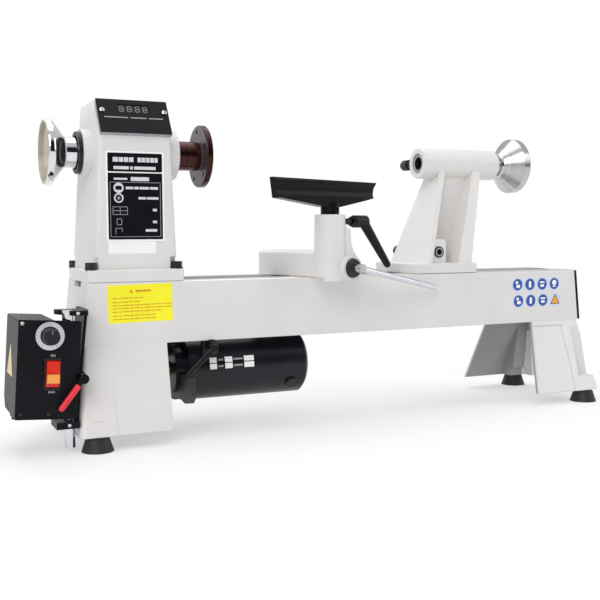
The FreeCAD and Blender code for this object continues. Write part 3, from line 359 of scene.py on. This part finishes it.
def settle(shape, verts, face, u=0, v=0, w=0, turn=0):
    bmesh.ops.rotate(shape, cent=(0, 0, 0), matrix=Matrix.Rotation(math.radians(turn), 3, "Z"), verts=verts)
    bmesh.ops.translate(shape, vec=(u, v, w), verts=verts)
    bmesh.ops.transform(shape, matrix=face, verts=verts)


def addBar(shape, face, u, v, width, height, lift=0.0, thick=0.12, turn=0):
    verts = bmesh.ops.create_cube(shape, size=1)["verts"]
    bmesh.ops.scale(shape, vec=(width, height, thick), verts=verts)
    settle(shape, verts, face, u, v, lift + thick / 2, turn)


def addPlate(shape, face, u, v, width, height, corner, lift=0.0, thick=0.3):
    verts = bmesh.ops.create_cube(shape, size=1)["verts"]
    bmesh.ops.scale(shape, vec=(width, height, thick), verts=verts)
    uprights = [edge for edge in set(edge for vert in verts for edge in vert.link_edges)
                if abs(edge.verts[0].co.z - edge.verts[1].co.z) > thick / 2]
    rounded = bmesh.ops.bevel(shape, geom=uprights, offset=corner, segments=6, profile=0.5,
                              affect="EDGES", material=-1)
    verts = set(vert for vert in verts if vert.is_valid) | set(rounded["verts"])
    settle(shape, list(verts), face, u, v, lift + thick / 2)


def addDisc(shape, face, u, v, radius, lift=0.0, thick=0.12, sides=40, top=None, turn=0):
    verts = bmesh.ops.create_cone(shape, cap_ends=True, cap_tris=False, segments=sides, radius1=radius,
                                  radius2=radius if top is None else top, depth=thick)["verts"]
    settle(shape, verts, face, u, v, lift + thick / 2, turn)


def addTurned(shape, face, profile, u=0, v=0, steps=72):
    # a profile of (out, radius) corners spun about the face's own normal
    verts = [shape.verts.new((radius, 0, out)) for out, radius in profile]
    edges = [shape.edges.new(pair) for pair in zip(verts, verts[1:])]
    before = set(shape.verts) - set(verts)
    bmesh.ops.spin(shape, geom=verts + edges, cent=(0, 0, 0), axis=(0, 0, 1), angle=math.tau,
                   steps=steps, use_merge=True)
    made = [vert for vert in shape.verts if vert not in before]
    bmesh.ops.remove_doubles(shape, verts=made, dist=1e-4)
    made = [vert for vert in shape.verts if vert not in before]
    settle(shape, made, face, u, v)


def addWords(shape, face, u, v, lengths, height, lift=0.0, gap=1.0):
    # blank blocks where a plate carries its print
    for length in lengths:
        addBar(shape, face, u + length / 2, v, length, height, lift)
        u += length + gap


def makePiece(name, shape, finishName, body, hides=(), bevelMm=0.0, sharpAngle=35):
    bmesh.ops.recalc_face_normals(shape, faces=shape.faces)
    mesh = bpy.data.meshes.new(name)
    shape.to_mesh(mesh)
    shape.free()
    mesh.shade_smooth()
    mesh.set_sharp_from_angle(angle=math.radians(sharpAngle))
    mesh.materials.append(finishes[finishName])
    piece = bpy.data.objects.new(name, mesh)
    bpy.context.scene.collection.objects.link(piece)
    if bevelMm:
        soft = piece.modifiers.new("soft edges", "BEVEL")
        soft.width = bevelMm * mm
        soft.segments = 3
        soft.limit_method = "ANGLE"
        soft.angle_limit = math.radians(30)
        soft.harden_normals = True
    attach(piece, body)
    if hides:
        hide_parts(*hides)
    return piece


right, up, back = Vector((1, 0, 0)), Vector((0, 0, 1)), Vector((0, 1, 0))
finishes.update({
    "white": finish("white vinyl label", "#F3F3F3", "#F8F8F8", (0.35, 0.45), 30, 1.0, 0.005),
    "ink": finish("white screen print", "#C9CBCE", "#DCDDE0", (0.5, 0.6), 8, 0.6, 0.005),
    "greyInk": finish("grey screen print", "#8B8D93", "#9A9CA2", (0.5, 0.6), 8, 0.6, 0.005),
    "yellow": finish("yellow vinyl label", "#F6EE1A", "#FFF82A", (0.38, 0.48), 40, 1.0, 0.005),
    "orangeInk": finish("orange screen print", "#CF7A1A", "#D88A26", (0.5, 0.6), 8, 0.6, 0.005),
    "blue": finish("blue vinyl label", "#2A4FA2", "#3057AC", (0.38, 0.48), 20, 1.0, 0.005),
    "paleBlue": finish("pale blue vinyl halo", "#C6D3EE", "#D0DCF4", (0.4, 0.5), 20, 1.0, 0.005),
    "amber": finish("amber vinyl label", "#E8A12C", "#F0AC36", (0.38, 0.48), 20, 1.0, 0.005),
    "cream": finish("cream vinyl label", "#DCC79B", "#E6D3AA", (0.4, 0.5), 20, 1.0, 0.005),
    "panelBlack": finish("black printed panel", "#0C0C11", "#111117", (0.4, 0.5), 40, 1.2, 0.005, ior=1.2),
    # black for print on the dial's ticks and the triangles' rims, and painted shade in the display's window
    # and the screws' cross recesses
    "darkInkAndShade": finish("black print and painted shade", "#0A0A0C", "#0F0F12", (0.7, 0.8), 10, 1.0, 0.01),
    "digits": finish("unlit display digits", "#77797F", "#85878D", (0.4, 0.5), 6, 0.6, 0.005),
})

# nameplate: a white plate with two black panels and blank print
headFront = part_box("nameplate")[0]
plateSize = {"width": 65, "height": 100.5, "margin": 2.2, "headHeight": 21.6, "gap": 1.5, "corner": 1.2}
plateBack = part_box("nameplate")[1].y
nameFace = facing(Vector((headFront.x, plateBack, headFront.z)), right, up)


def nameplate():
    width, height, margin = plateSize["width"], plateSize["height"], plateSize["margin"]
    backing = bmesh.new()
    addPlate(backing, nameFace, width / 2, height / 2, width + 2 * margin, height + 2 * margin,
             plateSize["corner"] + 0.8, 0.0, 0.5)
    makePiece("nameplateBacking", backing, "white", "stand", hides=["nameplate"])
    tableHeight = height - plateSize["headHeight"] - plateSize["gap"]
    panels = bmesh.new()
    addPlate(panels, nameFace, width / 2, height - plateSize["headHeight"] / 2, width,
             plateSize["headHeight"], plateSize["corner"], 0.5, 0.15)
    addPlate(panels, nameFace, width / 2, tableHeight / 2, width, tableHeight, plateSize["corner"], 0.5, 0.15)
    makePiece("nameplatePanels", panels, "panelBlack", "stand")
    marks = bmesh.new()
    addWords(marks, nameFace, 6.2, 92.8, [6.2, 5.2, 5.2, 5.2], 5.4, 0.65, gap=0.9)
    addWords(marks, nameFace, 35.5, 92.8, [4.0, 4.6, 4.2, 4.6, 3.6], 5.4, 0.65, gap=0.8)
    addWords(marks, nameFace, 7, 83.3, [18, 3, 26], 3.6, 0.65, gap=1.6)
    addWords(marks, nameFace, 7, 70.5, [16], 2.2, 0.65)
    addPlate(marks, nameFace, 38, 70.5, 22, 4.6, 0.6, 0.65, 0.12)
    addDisc(marks, nameFace, 12.5, 60, 6.0, 0.65)
    addWords(marks, nameFace, 21, 60, [9, 5, 11, 10], 3.0, 0.65, gap=1.2)
    addDisc(marks, nameFace, 12.5, 48.2, 5.6, 0.65)
    addWords(marks, nameFace, 36, 48.2, [9, 14], 2.8, 0.65, gap=1.0)
    for v, length in ((34.5, 5), (20.5, 5), (10.5, 14)):
        addWords(marks, nameFace, 58 - length, v, [length], 3.0, 0.65)
    makePiece("nameplateMarks", marks, "ink", "stand")
    cores = bmesh.new()
    addPlate(cores, nameFace, 12.5, 60, 7.6, 4.6, 1.2, 0.77, 0.08)
    addDisc(cores, nameFace, 12.5, 48.2, 3.9, 0.77, 0.08)
    makePiece("nameplateCores", cores, "panelBlack", "stand")
    lines = bmesh.new()
    low, high, left, far = 3.2, 66.5, 2.6, 62.4
    for v in (low, high):
        addBar(lines, nameFace, (left + far) / 2, v, far - left, 0.6, 0.65)
    for u in (left, far):
        addBar(lines, nameFace, u, (low + high) / 2, 0.6, high - low, 0.65)
    for v in (29, 33.5, 38):                              # the little drawing of a bed
        addBar(lines, nameFace, 14, v, 18, 0.7, 0.65)
    for u in (5.5, 14, 22.5):
        addBar(lines, nameFace, u, 33.5, 0.7, 9, 0.65)
    for u, v, width, height in ((10, 20.5, 0.7, 7), (15.5, 20.5, 0.7, 7), (12.7, 17.2, 5.5, 0.7),
                                (12.7, 24, 5.5, 0.7), (8.5, 9.5, 0.7, 7.5), (12.5, 13, 8, 0.7),
                                (16, 11, 0.7, 4)):
        addBar(lines, nameFace, u, v, width, height, 0.65)
    addDisc(lines, nameFace, 12.5, 48.2, 1.8, 0.85, 0.08)
    makePiece("nameplateLines", lines, "greyInk", "stand")
    strip = bmesh.new()
    addPlate(strip, nameFace, 28, -9.5, 57, 14, 1.0, 0.0, 0.12)
    makePiece("blankStrip", strip, "white", "stand")


# display: digits behind the window over a dark floor of painted shade, and a printed line under them
displaySize = {"low": (-48.0, 360.0), "high": (-22.0, 402.0), "out": 6.2, "digitHeight": 8.6,
               "digitWidth": 5.6}


def displayFace():
    (lowY, lowZ), (highY, highZ) = displaySize["low"], displaySize["high"]
    slopeUp = Vector((0, highY - lowY, highZ - lowZ)).normalized()
    outwards = right.cross(slopeUp)
    return facing(at(19, lowY, lowZ) + outwards * displaySize["out"] * mm, right, slopeUp)


def addDigit(shape, face, u, v, lift):
    width, height, stroke = displaySize["digitWidth"], displaySize["digitHeight"], 1.0
    for step in (-1, 0, 1):
        addBar(shape, face, u, v + step * (height - stroke) / 2, width - 2.2 * stroke, stroke, lift)
    for side in (-1, 1):
        for half in (-1, 1):
            addBar(shape, face, u + side * (width - stroke) / 2, v + half * (height - stroke) / 4,
                   stroke, height / 2 - 1.5 * stroke, lift)


def display():
    face = displayFace()
    digits = bmesh.new()
    for u in (29, 38.5, 48, 57.5):
        addDigit(digits, face, u, 35, -1.17)
    makePiece("displayDigits", digits, "digits", "stand")
    floor = bmesh.new()
    addBar(floor, face, 43.5, 35, 42, 16, -1.3, 0.12)
    makePiece("displayFloor", floor, "darkInkAndShade", "stand")
    line = bmesh.new()
    addWords(line, face, 7, 21.5, [28], 1.5, 0.0)
    addWords(line, face, 38, 21.5, [19], 1.5, 0.0)
    addWords(line, face, 60, 21.5, [17], 1.5, 0.0)
    makePiece("displayLine", line, "greyInk", "stand")


# bed labels
bedFront = -55
yellowLabel = {"corner": (23.2, 141.8), "size": (77.5, 44.5), "turn": 0.9,
               "lines": ((28.9, 36), (24.4, 28), (20.5, 67), (17.0, 66), (13.1, 54), (8.4, 50), (4.4, 51))}
roundLabels = {"left": 611.5, "pitch": 22.0, "rows": (170.6, 147.2), "radius": 8.3, "halo": 10.3}


def bedLabels():
    tilt = math.radians(yellowLabel["turn"])
    x, z = yellowLabel["corner"]
    width, height = yellowLabel["size"]
    across, upwards = (math.cos(tilt), 0, math.sin(tilt)), (-math.sin(tilt), 0, math.cos(tilt))
    face = facing(at(x, bedFront, z), across, upwards)
    label = bmesh.new()
    addPlate(label, face, width / 2, height / 2, width, height, 1.0, 0.0, 0.15)
    makePiece("yellowLabel", label, "yellow", "stand")
    words = bmesh.new()
    addDisc(words, face, 28, 36.4, 2.5, 0.15, 0.1, sides=3)
    addWords(words, face, 33, 36.8, [3, 2.6, 2.6, 2.6, 3, 2.4], 2.2, 0.15, gap=0.5)
    for v, length in yellowLabel["lines"]:
        word = 0
        u = 5
        while u < 5 + length:
            size = (6.5, 3.5, 8.0, 4.5)[word % 4]
            addBar(words, face, u + size / 2, v, size, 0.9, 0.15, 0.08)
            u += size + 0.9
            word += 1
    makePiece("yellowLabelPrint", words, "orangeInk", "stand")
    face = facing(at(0, bedFront, 0), right, up)
    halo, discs, figures = bmesh.new(), bmesh.new(), bmesh.new()
    for row, z in enumerate(roundLabels["rows"]):
        for column in range(4):
            x = roundLabels["left"] + column * roundLabels["pitch"] + row * 1.8
            addDisc(halo, face, x, z, roundLabels["halo"], 0.0, 0.08)
            if row == 0 or column < 3:
                addDisc(discs, face, x, z, roundLabels["radius"], 0.08, 0.08)
                addFigure(figures, face, x, z, row * 4 + column)
    makePiece("labelHalos", halo, "paleBlue", "stand")
    makePiece("blueLabels", discs, "blue", "stand")
    makePiece("labelFigures", figures, "white", "stand")
    x = roundLabels["left"] + 3 * roundLabels["pitch"] + 1.8
    z = roundLabels["rows"][1]
    edge, fill = bmesh.new(), bmesh.new()
    addDisc(edge, face, x, z - 1.2, 9.8, 0.08, 0.08, sides=3)
    addDisc(fill, face, x, z - 1.2, 8.0, 0.16, 0.08, sides=3)
    makePiece("triangleEdge", edge, "darkInkAndShade", "stand")
    makePiece("triangleLabel", fill, "amber", "stand")


def addFigure(shape, face, x, z, kind):
    # plain shapes of the maker's own, one to a label
    lift = 0.16
    if kind % 4 == 0:
        addDisc(shape, face, x - 1.5, z + 3, 2.2, lift)
        addPlate(shape, face, x + 1, z - 2.2, 6.5, 4.5, 1.2, lift, 0.08)
    elif kind % 4 == 1:
        addPlate(shape, face, x, z, 4.2, 9.5, 1.6, lift, 0.08)
    elif kind % 4 == 2:
        addPlate(shape, face, x, z + 2.6, 8.5, 2.4, 1.0, lift, 0.08)
        addPlate(shape, face, x, z - 2.2, 6.5, 3.4, 1.0, lift, 0.08)
    else:
        addDisc(shape, face, x, z + 1.5, 3.8, lift)
        addBar(shape, face, x, z - 3.8, 4.6, 2.0, lift, 0.08)


# control box: the panel leans with the bed's end
panelSize = {"pivot": (-14, 149.5), "lean": 3.8, "left": -82, "front": -86, "back": 4}
lean = math.radians(panelSize["lean"])
panelRight = Vector((math.cos(lean), 0, -math.sin(lean)))
panelUp = Vector((math.sin(lean), 0, math.cos(lean)))


def leaning(x, y, z):
    pivotX, pivotZ = panelSize["pivot"]
    return at(pivotX, y, pivotZ) + panelRight * (x - pivotX) * mm + panelUp * (z - pivotZ) * mm


panelFace = facing(leaning(0, panelSize["front"], 0), panelRight, panelUp)
dial, switch = (-47.9, 132.3), (-43.6, 90.4)
dialScale = {"ticks": 21, "start": 235, "sweep": 290, "reach": 14.7, "long": 2.4, "short": 1.3, "lift": 1.2}
knobEdge = {"ridges": 28, "reach": 8.55, "width": 0.9, "start": 3.6, "length": 11.2}
sideLabel = {"middle": (39, 95), "rim": 27, "fill": 24.6}


def controlMarks():
    dialX, dialZ = dial
    marks = bmesh.new()
    for tick in range(dialScale["ticks"]):
        angle = math.radians(dialScale["start"] - dialScale["sweep"] * tick / (dialScale["ticks"] - 1))
        length = dialScale["long"] if tick % 5 == 0 else dialScale["short"]
        reach = dialScale["reach"] - length / 2
        addBar(marks, panelFace, dialX + reach * math.cos(angle), dialZ + reach * math.sin(angle),
               length, 0.35, dialScale["lift"], 0.06, math.degrees(angle))
    makePiece("dialTicks", marks, "darkInkAndShade", "stand")
    pointer = bmesh.new()
    addBar(pointer, panelFace, dialX, dialZ + 5.0, 0.8, 4.0, 15.3, 0.5)
    makePiece("knobPointer", pointer, "greyInk", "knob")
    ridges = bmesh.new()
    reach, width = knobEdge["reach"], knobEdge["width"]
    for ridge in range(knobEdge["ridges"]):
        angle = math.tau * ridge / knobEdge["ridges"]
        addBar(ridges, panelFace, dialX + reach * math.cos(angle), dialZ + reach * math.sin(angle),
               width, width, knobEdge["start"], knobEdge["length"], math.degrees(angle) + 45)
    makePiece("knobRidges", ridges, "abs", "knob")
    switchX, switchZ = switch
    signs = bmesh.new()
    for u in (-1.6, 1.6):
        addBar(signs, panelFace, switchX + u * 0.9, switchZ + 20.2, 2.3, 2.6, 0.0, 0.1)
    for u in (-2.8, 0, 2.8):
        addBar(signs, panelFace, switchX + u * 0.9, switchZ - 20.2, 2.0, 2.4, 0.0, 0.1)
    makePiece("switchMarks", signs, "greyInk", "stand")
    sideFace = facing(leaning(panelSize["left"], panelSize["back"], 0), (0, -1, 0), panelUp)
    rim, fill = bmesh.new(), bmesh.new()
    addDisc(rim, sideFace, *sideLabel["middle"], sideLabel["rim"], 0.0, 0.1, sides=3)
    addDisc(fill, sideFace, *sideLabel["middle"], sideLabel["fill"], 0.1, 0.1, sides=3)
    makePiece("sideTriangleRim", rim, "darkInkAndShade", "stand")
    makePiece("sideTriangle", fill, "cream", "stand")


# cross recesses in the pan heads of the display and of the end plate, drawn as dark bars of painted shade,
# each left at its own angle
cross = {"length": 2.6, "width": 0.6, "lift": 1.77, "thick": 0.06, "firstTurn": 20, "nextTurn": 37}
endPlate = {"topX": 714, "topZ": 190, "slope": 0.11, "thick": 6}


def screwCrosses():
    crosses = bmesh.new()
    slope = displayFace()
    faces = [slope @ Matrix.Translation((u, 31, 0)) for u in (5.5, 80)]
    endLean = Vector((-endPlate["slope"], 0, 1))
    for z in (176, 128):
        x = endPlate["topX"] + endPlate["slope"] * (endPlate["topZ"] - z) + endPlate["thick"]
        for y in (-45, 45):
            faces.append(facing(at(x, y, z), back, endLean))
    for index, face in enumerate(faces):
        for turn in (0, 90):
            addBar(crosses, face, 0, 0, cross["length"], cross["width"], cross["lift"], cross["thick"],
                   turn + cross["firstTurn"] + cross["nextTurn"] * index)
    makePiece("screwCrosses", crosses, "darkInkAndShade", "stand")


# motor: two rows of blank labels, each laid flat against the shell at its own angle
motorRound = {"start": 152, "axisZ": 76.5, "radius": 41.0, "rows": (6.5, 17.5),
              "blocks": ((4.6, 9.2), (25, 10), (52.3, 13.4)), "words": ((14.5, 6.5), (37.5, 12.5))}


def motorDetails():
    for row, turn in enumerate(motorRound["rows"]):
        angle = math.radians(turn)
        outwards = Vector((0, -math.cos(angle), math.sin(angle)))
        tangent = Vector((0, math.sin(angle), math.cos(angle)))
        axis = at(motorRound["start"], 0, motorRound["axisZ"])
        face = facing(axis + outwards * (motorRound["radius"] - 0.08) * mm, right, tangent)
        blocks, words = bmesh.new(), bmesh.new()
        for u, width in motorRound["blocks"]:
            addPlate(blocks, face, u, 0, width, 6.8, 0.5, 0.0, 0.2)
        for u, width in motorRound["words"]:
            addBar(words, face, u, 0, width, 2.4, 0.02, 0.12)
        makePiece("motorLabel" + str(row), blocks, "white", "motor")
        makePiece("motorWords" + str(row), words, "greyInk", "motor")


# castings: the raised line above a foot, and the clip round the tail clamp's socket
def castingMarks():
    legUp = Vector((0, 37, 99))
    line = bmesh.new()
    addBar(line, facing(at(2.5, -92 + 37 * 17 / 99, 34), right, legUp), 0, 0, 12.5, 0.9, -0.15, 0.5)
    makePiece("castLine", line, "enamel", "stand", bevelMm=0.2)
    clip = bmesh.new()
    profile = [(0.05, 4.2), (0.45, 4.2), (0.45, 5.9), (0.05, 5.9), (0.05, 4.2)]
    addTurned(clip, facing(at(486, -43.5, 218.8), right, up), profile)
    makePiece("camClip", clip, "zinc", "tail_lever")


nameplate()
display()
bedLabels()
controlMarks()
screwCrosses()
motorDetails()
castingMarks()
print("labels, marks and screws made")


# the stage: a pale floor, soft boxes, and a room that only the metal sees
stage = {"floorSize": 16, "floorColor": "#F2F2F2", "roomStrength": 0.72}
cameraView = {"place": at(-224.94, -1115.56, 249.35), "yaw": 24.958, "pitch": -4.32, "roll": -0.224,
              "lens": 55.32}
softBoxes = {
    "front left": {"place": (-1.6, -1.9, 1.9), "size": 1.9, "watts": 31},
    "right": {"place": (2.2, -1.3, 1.3), "size": 1.5, "watts": 11},
    "overhead": {"place": (0.1, 0.4, 2.4), "size": 2.2, "watts": 25},
    "behind": {"place": (-0.6, 2.4, 1.5), "size": 1.6, "watts": 9},
}


def makeFloor():
    floor = bmesh.new()
    bmesh.ops.create_grid(floor, x_segments=1, y_segments=1, size=stage["floorSize"] / 2)
    mesh = bpy.data.meshes.new("studio floor")
    floor.to_mesh(mesh)
    floor.free()
    floorObject = bpy.data.objects.new("studioFloor", mesh)
    bpy.context.scene.collection.objects.link(floorObject)
    material, tree, shader, place = plainStart("pale studio floor", stage["floorColor"], 0.8)
    cloud = addNode(tree, "ShaderNodeTexNoise", {"Scale": 0.6}, {"Vector": place})
    tone = addNode(tree, "ShaderNodeValToRGB", links={"Fac": cloud.outputs["Fac"]})
    tone.color_ramp.elements[0].color = srgb("#F1F1F1")
    tone.color_ramp.elements[1].color = srgb("#F4F4F4")
    tree.links.new(tone.outputs["Color"], shader.inputs["Base Color"])
    # the floor glows white: fully away from the lathe, where it runs into the white of the backdrop, and at
    # 0.45 near it, a painted light that pales the lathe's shadow
    distance = addNode(tree, "ShaderNodeVectorMath", links={0: place}, operation="LENGTH")
    far = addNode(tree, "ShaderNodeMapRange", {"From Min": 0.5, "From Max": 1.2, "To Min": 0.45},
                  {"Value": distance.outputs["Value"]}, interpolation_type="SMOOTHSTEP")
    glow = addNode(tree, "ShaderNodeEmission", {"Color": srgb("#FFFFFF"), "Strength": 1.0})
    painted = shader.outputs["BSDF"]
    either = addNode(tree, "ShaderNodeMixShader",
                     links={0: far.outputs["Result"], 1: painted, 2: glow.outputs["Emission"]})
    tree.links.new(either.outputs["Shader"], tree.nodes["Material Output"].inputs["Surface"])
    mesh.materials.append(material)


def makeRoom():
    world = bpy.data.worlds.new("studio room")
    world.use_nodes = True
    bpy.context.scene.world = world
    tree = world.node_tree
    tree.nodes.clear()
    way = addNode(tree, "ShaderNodeTexCoord")
    height = addNode(tree, "ShaderNodeSeparateXYZ", links={"Vector": way.outputs["Generated"]})
    bands = addNode(tree, "ShaderNodeValToRGB")
    up = addNode(tree, "ShaderNodeMapRange", {"From Min": -1.0}, {"Value": height.outputs["Z"]})
    tree.links.new(up.outputs["Result"], bands.inputs["Fac"])
    steps = [(0.0, "#DADADA"), (0.44, "#E4E4E5"), (0.52, "#F2F2F3"), (0.66, "#E9E9EB"), (1.0, "#FFFFFF")]
    for index, (position, color) in enumerate(steps):
        if index > 1:
            bands.color_ramp.elements.new(position)
        bands.color_ramp.elements[index].position = position
        bands.color_ramp.elements[index].color = srgb(color)
    seen = addNode(tree, "ShaderNodeBackground", {"Color": srgb("#FFFFFF"), "Strength": 1.0})
    # a dark flag in front of the lathe gives the chrome its black bands
    towards = addNode(tree, "ShaderNodeVectorMath", {1: (0.25, -0.95, 0.05)}, {0: way.outputs["Generated"]},
                      operation="DOT_PRODUCT")
    flag = addNode(tree, "ShaderNodeMapRange", {"From Min": 0.76, "From Max": 0.88},
                   {"Value": towards.outputs["Value"]})
    shade = addNode(tree, "ShaderNodeMix", {"B": srgb("#2C2C30")}, data_type="RGBA")
    tree.links.new(flag.outputs["Result"], shade.inputs["Factor"])
    tree.links.new(bands.outputs["Color"], shade.inputs["A"])
    felt = addNode(tree, "ShaderNodeBackground", {"Strength": stage["roomStrength"]},
                   {"Color": shade.outputs["Result"]})
    path = addNode(tree, "ShaderNodeLightPath")
    either = addNode(tree, "ShaderNodeMixShader", links={
        0: path.outputs["Is Camera Ray"], 1: felt.outputs["Background"], 2: seen.outputs["Background"]})
    addNode(tree, "ShaderNodeOutputWorld", links={"Surface": either.outputs["Shader"]})


def aimed(place, target):
    return (Vector(target) - Vector(place)).to_track_quat("-Z", "Y").to_euler()


def makeLights():
    for name, box in softBoxes.items():
        light = bpy.data.lights.new(name, "AREA")
        light.shape = "SQUARE"
        light.size = box["size"]
        light.energy = box["watts"]
        lamp = bpy.data.objects.new(name, light)
        lamp.location = box["place"]
        lamp.rotation_euler = aimed(box["place"], (0, 0, 0.2))
        bpy.context.scene.collection.objects.link(lamp)


def makeCamera():
    yaw, pitch, roll = (math.radians(cameraView[turn]) for turn in ("yaw", "pitch", "roll"))
    forward = Vector((math.sin(yaw) * math.cos(pitch), math.cos(yaw) * math.cos(pitch), math.sin(pitch)))
    right = Vector((math.cos(yaw), -math.sin(yaw), 0))
    up = right.cross(forward)
    rolledRight = right * math.cos(roll) + up * math.sin(roll)
    rolledUp = up * math.cos(roll) - right * math.sin(roll)
    lens = bpy.data.cameras.new("camera")
    lens.lens = cameraView["lens"]
    lens.sensor_width = 36
    camera = bpy.data.objects.new("camera", lens)
    turn = Matrix((rolledRight, rolledUp, -forward)).transposed().to_4x4()
    camera.matrix_world = Matrix.Translation(cameraView["place"]) @ turn
    bpy.context.scene.collection.objects.link(camera)
    bpy.context.scene.camera = camera


makeFloor()
makeRoom()
makeLights()
makeCamera()
bpy.context.scene.view_settings.view_transform = "Standard"
bpy.context.scene.view_settings.look = "None"
print("stage, lights and camera set")
